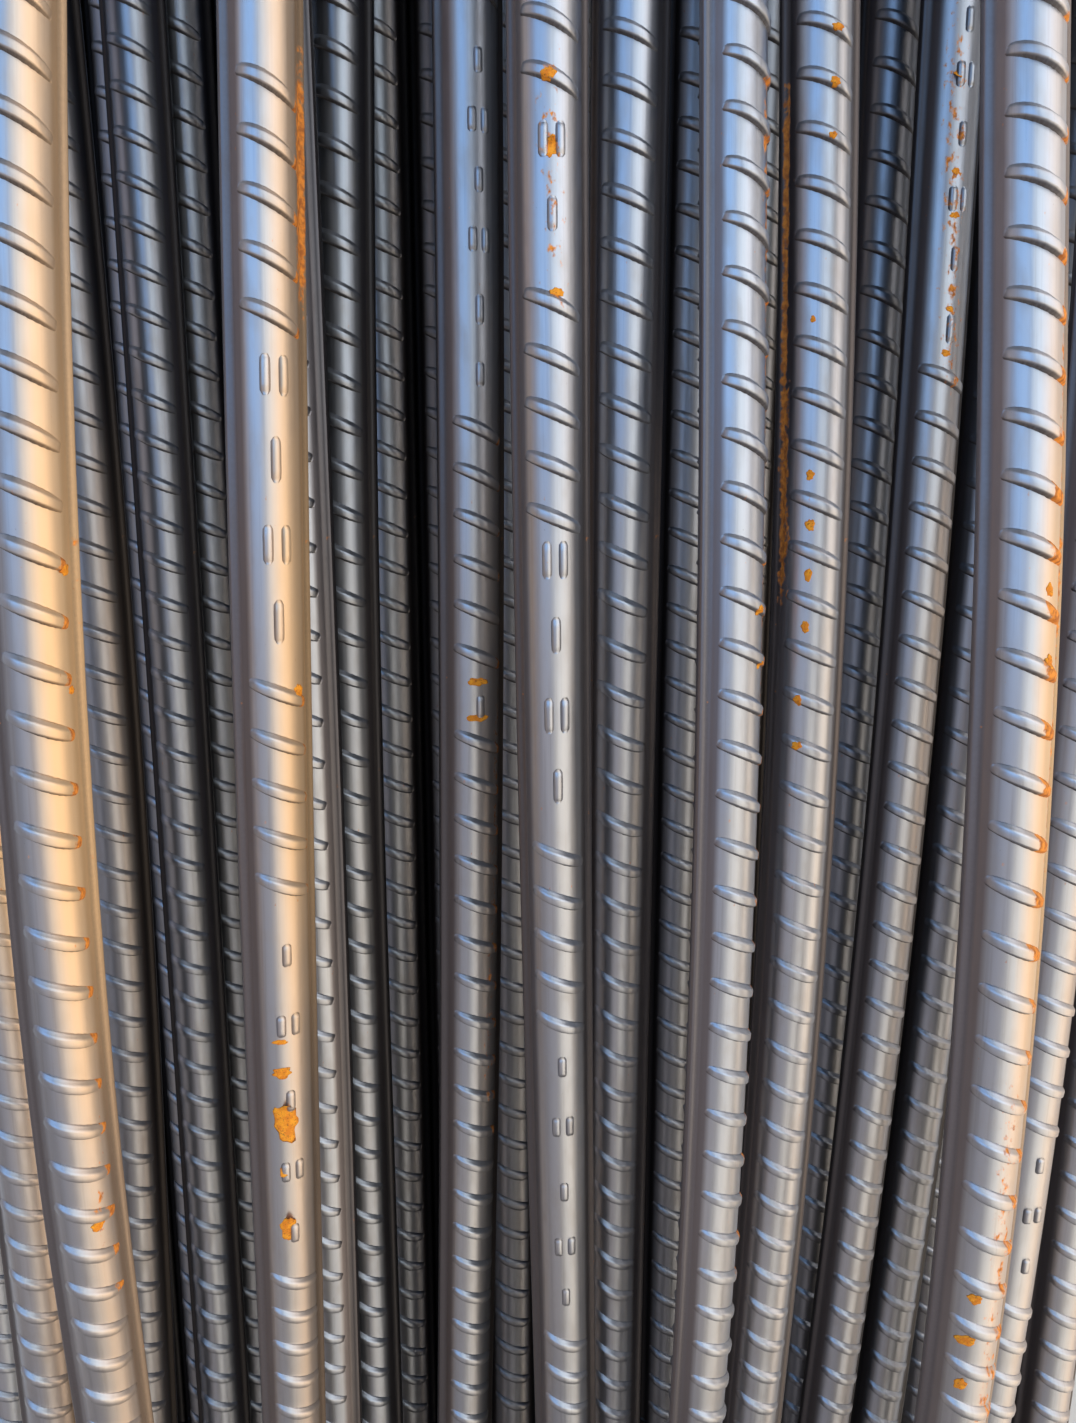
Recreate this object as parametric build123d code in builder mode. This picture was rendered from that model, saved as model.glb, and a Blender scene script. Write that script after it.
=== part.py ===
from build123d import *
import math
import os

os.makedirs("parts", exist_ok=True)

# A loose bundle of ribbed reinforcing bars, lying on a level floor.
# The bars run along Y, X is across the bundle and Z is up.
# The origin is on the floor, under the middle of the bundle.

# One bar, nominal size 12 mm. Its round core is drawn with flat sides, which keeps
# so many long bars light, and a long rib stands on two opposite sides.
bar_length = 6000.0
core_diameter = 11.5
core_sides = 12
long_rib_height = 1.3
long_rib_top = 1.5

# How the bars are stacked
bar_gap = 0.3
row_gap = 0.9
bottom_row_count = 23
full_row_count = 3

# How far the sheared ends stand apart, and after how many bars the pattern repeats
end_stagger = 4.0
end_pattern = 5

# Four flat steel straps, and the seal that closes each
strap_width = 19.0
strap_thickness = 0.8
strap_gap = 0.3
inner_strap_y = 700.0
outer_strap_inset = 600.0
seal_length = 24.0
seal_sheet = 0.5
seal_gap = 0.15
seal_lip = 6.0
seal_slot = 1.5

# The bowed bars leave their places in the stack short of the inner straps
foot_inset = 150.0
foot_bend_reach = 60.0
crest_bend_reach = 120.0

core_radius = core_diameter / 2
rib_radius = core_radius + long_rib_height
bar_spacing = 2 * rib_radius + bar_gap
row_rise = math.sqrt((core_diameter + row_gap) ** 2 - (bar_spacing / 2) ** 2)
first_row_height = strap_thickness + strap_gap + rib_radius
foot_y = inner_strap_y - foot_inset
outer_strap_y = bar_length / 2 - outer_strap_inset
top_row = full_row_count


# Places are counted in bar spacings from the middle of the bundle
def row_height(row):
    return first_row_height + row * row_rise


def row_slots(row):
    count = bottom_row_count - row
    return [slot - (count - 1) / 2 for slot in range(count)]


# Bars that have sprung up out of the third and top rows between the inner straps.
# Each has its row, its slots towards -Y and +Y, and its crest: how far across and
# how high in bar spacings, and where along Y in millimetres. The last value is how
# far its long ribs are turned from level, in degrees.
bowed_bars = {
    "bowed_bar_01": (3, -8.5, -8.5, -6.6, 6.4, 0.0, 10.0),
    "bowed_bar_02": (3, -7.5, -7.5, -6.0, 3.6, 0.0, 12.0),
    "bowed_bar_03": (3, -6.5, -4.5, -5.02, 8.6, 0.0, -12.0),
    "bowed_bar_04": (3, -3.5, -3.5, -2.8, 4.3, -20.0, -20.0),
    "bowed_bar_05": (3, -4.5, -2.5, -2.7, 7.0, 20.0, 22.0),
    "bowed_bar_06": (3, -2.5, -1.5, -2.45, 3.3, 40.0, -6.0),
    "bowed_bar_07": (3, -1.5, -0.5, -0.42, 4.5, -20.0, 14.0),
    "bowed_bar_08": (3, 1.5, 0.5, 0.62, 6.4, 40.0, 20.0),
    "bowed_bar_09": (2, 2.0, 2.0, 1.6, 5.6, 80.0, -6.0),
    "bowed_bar_10": (3, 2.5, 2.5, 2.97, 6.9, -60.0, 22.0),
    "bowed_bar_11": (3, 3.5, 3.5, 4.1, 6.1, -20.0, 14.0),
    "bowed_bar_12": (3, 6.5, 5.5, 5.76, 8.9, -60.0, 14.0),
    "bowed_bar_13": (3, 4.5, 6.5, 6.0, 4.2, -40.0, 12.0),
    "bowed_bar_14": (3, 5.5, 7.5, 7.15, 3.4, -40.0, 0.0),
    "bowed_bar_15": (3, 7.5, 8.5, 7.6, 6.0, -60.0, 10.0),
    "bowed_bar_16": (2, 5.0, 6.0, 5.5, 2.9, -40.0, 6.0),
    "bowed_bar_17": (3, 9.5, 9.5, 8.75, 5.0, -60.0, 4.0),
}


# A straight bar lies wherever no bowed bar has either of its feet
def free_slots(row):
    feet = [slot for bar in bowed_bars.values() if bar[0] == row for slot in bar[1:3]]
    return [slot for slot in row_slots(row) if slot not in feet]


def stagger(number):
    return (number % end_pattern - (end_pattern - 1) / 2) * end_stagger


def end_plane(x, y, z):
    return Plane(origin=(x, y, z), x_dir=(1, 0, 0), z_dir=(0, 1, 0))


def bar_profile(rib_turn):
    half_side = core_radius * math.tan(math.pi / core_sides)
    rib_flank = math.degrees(math.atan2(long_rib_height, half_side - long_rib_top / 2))
    RegularPolygon(
        core_radius, core_sides, major_radius=False, rotation=rib_turn + 180 / core_sides
    )
    with PolarLocations(core_radius, 2, start_angle=rib_turn):
        Trapezoid(
            2 * half_side,
            long_rib_height,
            rib_flank,
            rotation=-90,
            align=(Align.CENTER, Align.MIN),
        )


def straight_bars(row, slots):
    with BuildPart() as bars:
        for number, slot in enumerate(slots):
            start_y = stagger(number) - bar_length / 2
            with BuildSketch(end_plane(slot * bar_spacing, start_y, row_height(row))):
                bar_profile(0)
            extrude(amount=bar_length)
    return bars


def bowed_path(row, slot_back, slot_front, crest_slot, crest_lift, crest_y):
    foot_height = row_height(row)
    back = Vector(slot_back * bar_spacing, -foot_y, foot_height)
    front = Vector(slot_front * bar_spacing, foot_y, foot_height)
    crest = Vector(
        crest_slot * bar_spacing, crest_y, first_row_height + crest_lift * bar_spacing
    )
    straight = (bar_length - (crest - back).length - (front - crest).length) / 2
    run = Vector(0, straight, 0)
    corners = [back - run, back, crest, front, front + run]
    reaches = [foot_bend_reach, crest_bend_reach, foot_bend_reach]
    radii = []
    for before, corner, after, reach in zip(corners, corners[1:], corners[2:], reaches):
        turn = (corner - before).get_angle(after - corner)
        radii.append(reach / math.tan(math.radians(turn / 2)))
    return corners, radii


def bowed_bar(row, slot_back, slot_front, crest_slot, crest_lift, crest_y, rib_turn):
    corners, radii = bowed_path(
        row, slot_back, slot_front, crest_slot, crest_lift, crest_y
    )
    with BuildPart() as bar:
        with BuildLine() as centre_line:
            FilletPolyline(*corners, radius=radii)
        with BuildSketch(end_plane(*corners[0])):
            bar_profile(rib_turn)
        sweep(path=centre_line.line)
    return bar


def strap(strap_y):
    bottom_x = row_slots(0)[-1] * bar_spacing
    top_x = row_slots(top_row)[-1] * bar_spacing
    corners = [
        (-bottom_x, row_height(0)),
        (bottom_x, row_height(0)),
        (-top_x, row_height(top_row)),
        (top_x, row_height(top_row)),
    ]
    with BuildPart() as band:
        with BuildSketch(Plane.XZ.offset(-strap_y)):
            with Locations(*corners):
                Circle(rib_radius + strap_gap + strap_thickness)
            make_hull()
            offset(amount=-strap_thickness, mode=Mode.SUBTRACT)
        extrude(amount=strap_width / 2, both=True)
    return band


# A folded sleeve round the strap, open along the middle of its underside
def strap_seal(strap_y):
    strap_top = row_height(top_row) + rib_radius + strap_gap + strap_thickness
    inside_width = strap_width + 2 * seal_gap
    inside_height = strap_thickness + 2 * seal_gap
    seal_x = seal_slot * bar_spacing
    seal_plane = Plane(
        origin=(seal_x, strap_y, strap_top - strap_thickness / 2),
        x_dir=(0, 1, 0),
        z_dir=(1, 0, 0),
    )
    with BuildPart() as seal:
        with BuildSketch(seal_plane):
            Rectangle(inside_width + 2 * seal_sheet, inside_height + 2 * seal_sheet)
            Rectangle(inside_width, inside_height, mode=Mode.SUBTRACT)
            with Locations((0, -inside_height / 2 - seal_sheet / 2)):
                Rectangle(inside_width - 2 * seal_lip, seal_sheet, mode=Mode.SUBTRACT)
        extrude(amount=seal_length / 2, both=True)
    return seal


def keep(piece, name):
    piece.part.label = name
    export_step(piece.part, f"parts/{name}.step")


row_names = ["bottom_row_bars", "second_row_bars", "third_row_bars", "top_row_bars"]
for row, name in enumerate(row_names):
    keep(straight_bars(row, free_slots(row)), name)

for name, bar in bowed_bars.items():
    keep(bowed_bar(*bar), name)

strap_places = [-outer_strap_y, -inner_strap_y, inner_strap_y, outer_strap_y]
for number, strap_y in enumerate(strap_places, start=1):
    keep(strap(strap_y), f"strap_{number}")
    keep(strap_seal(strap_y), f"strap_seal_{number}")
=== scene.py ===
import math

import bpy
import numpy as np
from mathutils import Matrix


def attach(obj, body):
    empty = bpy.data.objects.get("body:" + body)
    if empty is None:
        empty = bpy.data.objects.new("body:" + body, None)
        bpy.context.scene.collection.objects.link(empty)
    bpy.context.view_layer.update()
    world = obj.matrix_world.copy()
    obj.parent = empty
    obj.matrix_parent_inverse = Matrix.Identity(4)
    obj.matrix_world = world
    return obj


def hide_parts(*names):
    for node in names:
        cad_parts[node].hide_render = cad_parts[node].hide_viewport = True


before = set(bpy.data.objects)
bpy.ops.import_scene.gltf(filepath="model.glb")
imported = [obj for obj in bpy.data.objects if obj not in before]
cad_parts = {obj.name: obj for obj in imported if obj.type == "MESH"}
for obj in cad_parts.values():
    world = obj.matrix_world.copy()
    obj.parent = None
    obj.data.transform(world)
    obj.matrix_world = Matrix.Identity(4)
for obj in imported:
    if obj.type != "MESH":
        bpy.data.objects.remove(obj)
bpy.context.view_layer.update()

# A close look at a loose bundle of ribbed steel bars. Lengths are in metres. The bars run
# along Y, X is across the bundle and Z is up.

# The photograph's frame, and the camera that took it
photo_width = 1076
photo_height = 1423
focal_pixels = 1069.0
sensor_size = 36.0
camera_place = (0.0072, 0.0315, 0.291)
camera_tilt = math.radians(11.0)

# One bar's relief. The core's radius and the long rib are the solids' own sizes.
mm = 0.001
core_radius = 5.75 * mm
long_rib_height = 1.3 * mm
long_rib_top = 1.5 * mm
long_rib_fillet = 0.8 * mm
rib_pitch = 9.0 * mm
rib_height = 1.0 * mm
rib_slope = 0.43
rib_half_span = math.radians(62)
rib_bury = 0.15 * mm
rib_tip = 0.45
end_bevel = 0.5 * mm
bevel_slope = 0.7

# One side of a long rib, from its foot to its middle: place across it and share of its height
half_top = long_rib_top / 2
long_rib_side = [
    (half_top + long_rib_fillet + 0.35 * mm, 0.0),
    (half_top + 0.55 * mm, 0.12),
    (half_top + 0.22 * mm, 0.55),
    (half_top - 0.02 * mm, 0.92),
    (half_top - 0.22 * mm, 1.0),
]
core_steps = 12

# Dirt on a long rib: on its top, and how much more towards its foot. There it is thickest
# at this share of the rib's height, and thins out over this much of it.
long_rib_dirt = 0.15
foot_dirt = 0.60
foot_dirt_height = 0.3
foot_dirt_spread = 0.35

# Dirt and rust on a bar's sheared ends
sheared_dirt = 0.35
sheared_rust = 0.45

# Sections across a slanting rib: place across it in mm, height as a share of the rib's
# height, and how much dirt lies there, which on the flank towards -Y is also painted shadow.
# The first and last points are sunk in the core.
fine_section = [
    (-1.30, -1.0, 1.0), (-1.08, 0.06, 1.0), (-0.90, 0.58, 0.9), (-0.76, 0.91, 0.2),
    (-0.58, 1.0, 0.0), (0.50, 1.0, 0.0), (0.74, 0.92, 0.0), (0.98, 0.64, 0.15),
    (1.30, 0.20, 0.15), (1.75, -1.0, 0.0),
]
plain_section = [
    (-1.30, -1.0, 1.0), (-0.92, 0.60, 0.8), (-0.64, 1.0, 0.0),
    (0.55, 1.0, 0.0), (0.95, 0.65, 0.1), (1.65, -1.0, 0.0),
]
far_section = [(-1.3, -1.0, 0.8), (0.0, 1.0, 0.0), (1.5, -1.0, 0.2)]

# Section across a plain raised dash, given in the same way
dash_section = [
    (-1.00, -1.0, 0.5), (-0.72, 0.50, 0.4), (-0.48, 1.0, 0.0),
    (0.48, 1.0, 0.0), (0.72, 0.50, 0.2), (1.00, -1.0, 0.3),
]
dash_height = 0.60 * mm

# How far from the middle a bowed bar's extra turn begins, and over how much it builds up
twist_end = 0.52
twist_run = 0.30

# The stretch along Y that the camera sees. A point of the photograph is looked for in this
# many steps along a bar, and a row of it a little past the stretch too.
view_start = -0.225
view_end = 0.150
view_margin = 0.1
view_steps = 400

# Rings of corners on a straight bar over that stretch, and how far apart they are on a
# bowed bar, up to this far from the middle
view_rings = 12
body_step = 0.018
bowed_end = 0.640

# The slanting ribs of the upper bars are modelled this far from the middle, out of the
# camera's sight only on their upper side, which ends at this sine of the angle round the
# bar. All others are drawn by bump alone.
ribbed_end = 1.6
lowest_upper_sine = -0.05

# Where along the bundle the deep bars' shade starts to fade, and where it ends
shade_start = 0.30
shade_end = 0.60

# The shade of a bar's sides starts this far up it, as a share of the radius, and is full
# this much lower
side_start = 0.85
side_run = 0.75

# The painted warm light, a straw tint, starts this far to the right on a bar, as a share of
# the radius, and is full this much further right
warm_light_start = 0.05
warm_light_run = 0.60

# The painted warm light along Y has this share of its lower strength up to the first place,
# all of it from the second to the third, and its upper strength from the last place on.
warm_light_places = [-0.09, -0.03, 0.02, 0.07]
warm_light_low_end = 0.45

# How far round from a long rib the strip of painted shade beside it ends, which stands in
# for a darker reflection, and over how much it fades, in degrees
strip_end = 40.0
strip_fade = 6.0

# The middles of a bar's two ribbed sides, as angles round it from its right long rib
up_side = math.radians(90)
down_side = math.radians(270)

# Corners of a solid are the same when they agree to this many digits, and stand in
# different rings when they are this far apart along Y. A centre line has this many steps
# from ring to ring.
weld_digits = 5
ring_gap = 4 * mm
trace_steps = 12

# Steps over the path of a slanting rib, in full view, on the bars behind and elsewhere, and
# over that of a dash
fine_steps = 13
plain_steps = 8
far_steps = 5
dash_steps = 7

# These steps are closer together towards a path's ends, by these powers
rib_crowding = 0.8
dash_crowding = 0.7

# How steeply a dash rises at its ends
dash_edge = 1.25

# The seed for the places of the first bar's ribs
first_seed = 100


def unit(vectors):
    return vectors / np.linalg.norm(vectors, axis=-1, keepdims=True)


# The camera's axes, and the ray through a point of the photograph
camera_origin = np.array(camera_place)
camera_right = np.array([1.0, 0.0, 0.0])
camera_up = np.array([0.0, math.cos(camera_tilt), -math.sin(camera_tilt)])
camera_ahead = np.array([0.0, -math.sin(camera_tilt), -math.cos(camera_tilt)])


def pixel_ray(pixel_x, pixel_y):
    across = (pixel_x - photo_width / 2) / focal_pixels
    upward = (photo_height / 2 - pixel_y) / focal_pixels
    return unit(camera_ahead + across * camera_right + upward * camera_up)


def pixel_rows(points):
    away = points - camera_origin
    return photo_height / 2 - focal_pixels * (away @ camera_up) / (away @ camera_ahead)


# A bar's centre line, read from the rings of corners that its solid has, and the place on
# the bar of anything that follows it
class Bar:
    def __init__(self, name, corners):
        self.name = name
        rings = self.split_rings(corners[np.argsort(corners[:, 1])])
        whole = max(len(ring) for ring in rings)
        rings = [ring for ring in rings if len(ring) == whole]
        centres = np.array([ring.mean(axis=0) for ring in rings])
        tangents = np.array([self.ring_normal(ring) for ring in rings])
        rights = np.array([self.right_rib(ring) for ring in rings])
        self.ring_ends = (centres[0][1], centres[-1][1])
        self.bowed = len(rings) > 2
        self.trace(centres, tangents, rights)
        self.twist = 0.0

    def split_rings(self, corners):
        breaks = np.where(np.diff(corners[:, 1]) > ring_gap)[0] + 1
        return np.split(corners, breaks)

    # The way along the bar at a ring, square to the plane that its corners lie in
    def ring_normal(self, ring):
        normal = np.linalg.svd(ring - ring.mean(axis=0))[2][-1]
        return normal * np.sign(normal[1])

    # The way to the right long rib: a ring's four farthest corners are its two ribs' edges
    def right_rib(self, ring):
        away = ring - ring.mean(axis=0)
        farthest = away[np.argsort(np.linalg.norm(away, axis=1))[-4:]]
        return unit(farthest[farthest[:, 0] > 0].mean(axis=0))

    # Draws a smooth curve through the rings' centres, with the rings' own directions
    def trace(self, centres, tangents, rights):
        places, ahead, right = [], [], []
        t = np.linspace(0, 1, trace_steps, endpoint=False)[:, None]
        for number in range(len(centres) - 1):
            start, end = centres[number], centres[number + 1]
            reach = np.linalg.norm(end - start)
            slope_start, slope_end = tangents[number] * reach, tangents[number + 1] * reach
            places.append(
                (2 * t**3 - 3 * t**2 + 1) * start + (t**3 - 2 * t**2 + t) * slope_start
                + (3 * t**2 - 2 * t**3) * end + (t**3 - t**2) * slope_end
            )
            ahead.append(tangents[number] * (1 - t) + tangents[number + 1] * t)
            right.append(rights[number] * (1 - t) + rights[number + 1] * t)
        places.append(centres[-1:])
        ahead.append(tangents[-1:])
        right.append(rights[-1:])
        self.places = np.concatenate(places)
        self.ahead = unit(np.concatenate(ahead))
        self.right = np.concatenate(right)
        lengths = np.linalg.norm(np.diff(self.places, axis=0), axis=1)
        self.along = np.concatenate([[0.0], np.cumsum(lengths)])

    # A row of one of those tables, such as the places, at any distance along the bar
    def pick(self, table, along):
        return np.stack([np.interp(along, self.along, table[:, axis]) for axis in range(3)], -1)

    def along_at(self, y):
        return np.interp(y, self.places[:, 1], self.along)

    # Places on the bar: how far along it, the angle from its right long rib, and the radius
    def surface(self, along, angle, radius):
        centre = self.pick(self.places, along)
        ahead = unit(self.pick(self.ahead, along))
        right = self.pick(self.right, along)
        right = unit(right - (right * ahead).sum(-1, keepdims=True) * ahead)
        up = np.cross(right, ahead)
        turned = angle - self.twist * self.twist_share(centre[..., 1])
        outward = np.cos(turned)[..., None] * right + np.sin(turned)[..., None] * up
        return centre + radius[..., None] * outward

    # Where the right long rib points at any place along the bar, with the bar's own turn
    def turned_right(self, along):
        centre = self.pick(self.places, along)
        side = self.surface(along, np.zeros(along.shape), np.full(along.shape, core_radius))
        return unit(side - centre)

    # A bowed bar's share of its extra turn along Y: none where it lies in the stack
    def twist_share(self, y):
        free = np.clip((twist_end - np.abs(y)) / twist_run, 0, 1)
        return free * free * (3 - 2 * free)

    # How far along and round the bar a point of the photograph lies
    def spot(self, pixel_x, pixel_y):
        ray = pixel_ray(pixel_x, pixel_y)
        start, end = self.along_at(view_start), self.along_at(view_end)
        along = np.linspace(start, end, view_steps)
        away = self.pick(self.places, along) - camera_origin
        aside = away - (away @ ray)[:, None] * ray
        nearest = int(np.argmin(np.linalg.norm(aside, axis=1)))
        offset = -aside[nearest]
        ahead = unit(self.pick(self.ahead, along[nearest]))
        lean = math.sqrt(1 - (ray @ ahead) ** 2)
        depth = math.sqrt(max(core_radius**2 - offset @ offset, 0.0)) / lean
        outward = offset - depth * ray
        right = self.pick(self.right, along[nearest])
        right = unit(right - (right @ ahead) * ahead)
        up = np.cross(right, ahead)
        y = self.pick(self.places, along[nearest])[1]
        angle = math.atan2(outward @ up, outward @ right) + self.twist * self.twist_share(y)
        return along[nearest] + outward @ ahead, angle

    # How far along the bar its top crosses a row of the photograph
    def along_at_row(self, pixel_y):
        start = self.along_at(view_start - view_margin)
        end = self.along_at(view_end + view_margin)
        along = np.linspace(start, end, view_steps)
        tops = self.pick(self.places, along) + np.array([0, 0, core_radius])
        rows = pixel_rows(tops)
        return np.interp(pixel_y, rows[::-1], along[::-1])


# Takes a node's solids apart: corners that edges join belong to one bar. The bars come in
# order from left to right.
def node_bars(node):
    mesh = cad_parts[node].data
    corners = np.empty(len(mesh.vertices) * 3)
    mesh.vertices.foreach_get("co", corners)
    edges = np.empty(len(mesh.edges) * 2, dtype=np.int32)
    mesh.edges.foreach_get("vertices", edges)
    rounded = np.round(corners.reshape(-1, 3), weld_digits)
    welded, number = np.unique(rounded, axis=0, return_inverse=True)
    first, second = number.ravel()[edges.reshape(-1, 2)].T
    label = np.arange(len(welded))
    while True:
        lowest = np.minimum(label[first], label[second])
        spread = label.copy()
        np.minimum.at(spread, first, lowest)
        np.minimum.at(spread, second, lowest)
        spread = spread[spread]
        if (spread == label).all():
            break
        label = spread
    groups = [welded[label == name] for name in np.unique(label)]
    groups.sort(key=lambda group: group[:, 0].mean())
    return [Bar(node, group) for group in groups]


# A mesh under construction: corners, faces, the texture place of each face's corners, the
# material of each face, and at each corner the dirt and painted shadow, the rust, three tints
# of painted light and shade and, as plain, where the slanting ribs are drawn by bump alone
class Shape:
    def __init__(self):
        self.corners, self.faces, self.places = [], [], []
        self.dirt, self.rust, self.plain = [], [], []
        self.shade, self.straw, self.strip = [], [], []
        self.finishes, self.count, self.tinted = [], 0, 0

    def add(self, corners, faces, places, dirt, rust, plain, finish=0):
        self.corners.append(corners)
        self.faces.extend([[corner + self.count for corner in face] for face in faces])
        self.places.append(places)
        self.dirt.append(dirt)
        self.rust.append(rust)
        self.plain.append(plain)
        self.finishes.extend([finish] * len(faces))
        self.count += len(corners)

    # Paints shade and tints on the corners added since the last call: painted shade where a bar
    # lies deep among the bowed bars, most of all on its sides, a strip of painted shade beside
    # its long ribs, and painted warm light on its right side.
    def add_tints(self, bar, depth, painted_side_shade):
        fresh = np.concatenate(self.corners[self.tinted:])
        self.tinted = len(self.corners)
        along = bar.along_at(fresh[:, 1])
        outward = unit(fresh - bar.pick(bar.places, along))
        # Painted shade: more on a bar's sides, fading out along the bundle past the bowed bars
        side = np.clip((side_start - outward[:, 2]) / side_run, 0, 1)
        reach = np.clip((shade_end - np.abs(fresh[:, 1])) / (shade_end - shade_start), 0, 1)
        shade = (depth + (1 - depth) * painted_side_shade * side) * reach
        # Painted warm light on the bar's right side
        upper, lower = painted_warm_light_strengths.get(bar.name, (0.0, 0.0))
        tints = [warm_light_low_end * lower, lower, lower, upper]
        strength = np.interp(fresh[:, 1], warm_light_places, tints)
        straw = strength * reach * np.clip((outward[:, 0] - warm_light_start) / warm_light_run, 0, 1)
        # A strip of painted shade beside each long rib
        right = bar.turned_right(along)
        level = np.degrees(np.arccos(np.clip(np.abs((outward * right).sum(-1)), 0, 1)))
        strip = np.clip((strip_end - level) / strip_fade, 0, 1)
        self.shade.append(shade)
        self.straw.append(straw)
        self.strip.append(strip)

    def build(self, name, materials):
        mesh = bpy.data.meshes.new(name)
        mesh.from_pydata(np.concatenate(self.corners).tolist(), [], self.faces)
        layer = mesh.uv_layers.new(name="UVMap")
        layer.data.foreach_set("uv", np.concatenate(self.places).ravel().astype(np.float32))
        for label in ("dirt", "rust", "plain", "shade", "straw", "strip"):
            values = np.concatenate(getattr(self, label)).astype(np.float32)
            mesh.attributes.new(label, "FLOAT", "POINT").data.foreach_set("value", values)
        mesh.polygons.foreach_set("material_index", self.finishes)
        mesh.polygons.foreach_set("use_smooth", [True] * len(mesh.polygons))
        for material in materials:
            mesh.materials.append(material)
        mesh.update()
        piece = bpy.data.objects.new(name, mesh)
        bpy.context.scene.collection.objects.link(piece)
        return piece


# Outline of the bar between two slanting ribs: a round core with its two long ribs
def body_outline():
    angles, radii = [], []
    for across, share in long_rib_side:
        radius = core_radius + share * long_rib_height
        angles.append(math.asin(across / radius))
        radii.append(radius)
    foot = angles[0]
    between = np.linspace(foot, math.pi - foot, core_steps + 2)[1:-1]
    quarter = list(zip(angles[::-1], radii[::-1]))
    half = quarter + [(angle, core_radius) for angle in between]
    half += [(math.pi - angle, radius) for angle, radius in reversed(quarter)]
    whole = half + [(angle + math.pi, radius) for angle, radius in half]
    return np.array([point[0] for point in whole]), np.array([point[1] for point in whole])


def grid_faces(rows, columns):
    row, column = np.meshgrid(np.arange(rows - 1), np.arange(columns), indexing="ij")
    ahead = (column + 1) % columns
    low, high = row * columns, (row + 1) * columns
    return np.stack([low + column, low + ahead, high + ahead, high + column], -1).reshape(-1, 4)


# Triangles that close the first and the last of some rings of corners, round two centres
def end_fans(columns, last_ring, first_centre, last_centre):
    rim = np.arange(columns)
    ahead = (rim + 1) % columns
    first = np.stack([rim, ahead, np.full(columns, first_centre)], -1)
    last = np.stack([ahead + last_ring, rim + last_ring, np.full(columns, last_centre)], -1)
    return np.concatenate([first, last])


# How far along a bar its rings of corners stand. Where modelled ribs give way to bump, two
# rings stand close together.
def body_stations(bar, bump):
    last = bar.along[-1]
    stations = [0.0, end_bevel, last - end_bevel, last]
    if bar.bowed:
        start, end = bar.along_at(-bowed_end), bar.along_at(bowed_end)
        stations += list(np.arange(start, end, body_step))
    else:
        start, end = bar.along_at(view_start), bar.along_at(view_end)
        stations += [start - mm, end + mm] + list(np.linspace(start, end, view_rings))
        stations += [bar.along_at(y) for y in (-shade_end, -shade_start, shade_start, shade_end)]
    if bump == "unseen_lower":
        stations += [bar.along_at(y) for y in (-ribbed_end - mm, -ribbed_end)]
        stations += [bar.along_at(y) for y in (ribbed_end, ribbed_end + mm)]
    return np.array(sorted(stations))


# Where a bar's slanting ribs are drawn by bump alone: everywhere, out of the camera's sight,
# out of its sight and low or far off as well, or nowhere
def bump_alone(bar, along, angle, y, bump):
    seen = along > bar.along_at(view_start) - mm / 2
    seen &= along < bar.along_at(view_end) + mm / 2
    upper = np.sin(angle) > lowest_upper_sine
    ribbed = upper & (np.abs(y) < ribbed_end + mm / 2)
    return {
        "all": np.ones(len(y)),
        "unseen": np.where(seen & upper, 0.0, 1.0),
        "unseen_lower": np.where(seen | ribbed, 0.0, 1.0),
        "none": np.zeros(len(y)),
    }[bump]


def outline_dirt(radii):
    climb = (radii - core_radius) / long_rib_height
    foot = np.exp(-(((climb - foot_dirt_height) / foot_dirt_spread) ** 2))
    return np.where(climb > 0, long_rib_dirt * climb + foot_dirt * foot, 0.0)


# The texture place of each corner of a body's faces: how far round the bar and along it
def body_places(stations, angles):
    column = np.tile(np.arange(len(angles)), len(stations) - 1)
    row = np.repeat(np.arange(len(stations) - 1), len(angles))
    wrapped = np.append(angles, angles[0] + 2 * math.pi) * core_radius
    left, right = wrapped[column], wrapped[column + 1]
    low, high = stations[row], stations[row + 1]
    return np.stack([left, high, right, high, right, low, left, low], -1).reshape(-1, 2)


# A bar without its slanting ribs, closed by flat bevelled ends
def add_body(shape, bar, rust_at, bump):
    angles, radii = body_outline()
    stations = body_stations(bar, bump)
    columns = len(angles)
    along, angle = np.meshgrid(stations, angles, indexing="ij")
    radius = np.broadcast_to(radii, along.shape).copy()
    radius[[0, -1]] -= end_bevel * bevel_slope
    rings = bar.surface(along, angle, radius)
    corners = rings.reshape(-1, 3)
    centres = np.stack([rings[0].mean(axis=0), rings[-1].mean(axis=0)])
    every = np.concatenate([corners, centres])
    count, last_ring = len(corners), len(corners) - columns
    walls = grid_faces(len(stations), columns)[:, ::-1]
    caps = end_fans(columns, last_ring, count, count + 1)
    cap_places = (every[caps.ravel()] - centres[0])[:, [0, 2]]
    dirt, rust = np.tile(outline_dirt(radii), len(stations)), rust_at(corners)
    dirt[:columns], dirt[last_ring:] = sheared_dirt, sheared_dirt
    rust[:columns], rust[last_ring:] = sheared_rust, sheared_rust
    plain = bump_alone(bar, along.ravel(), angle.ravel(), corners[:, 1], bump)
    shape.add(
        every, walls.tolist() + caps.tolist(),
        np.concatenate([body_places(stations, angles), cap_places]),
        np.append(dirt, [sheared_dirt] * 2), np.append(rust, [sheared_rust] * 2),
        np.append(plain, [0.0, 0.0]),
    )


# The height of a slanting rib along its path, as a share, from one end (-1) to the other (1)
def rib_share(turn):
    return np.clip(1 - turn**2, 0, 1)


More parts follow.
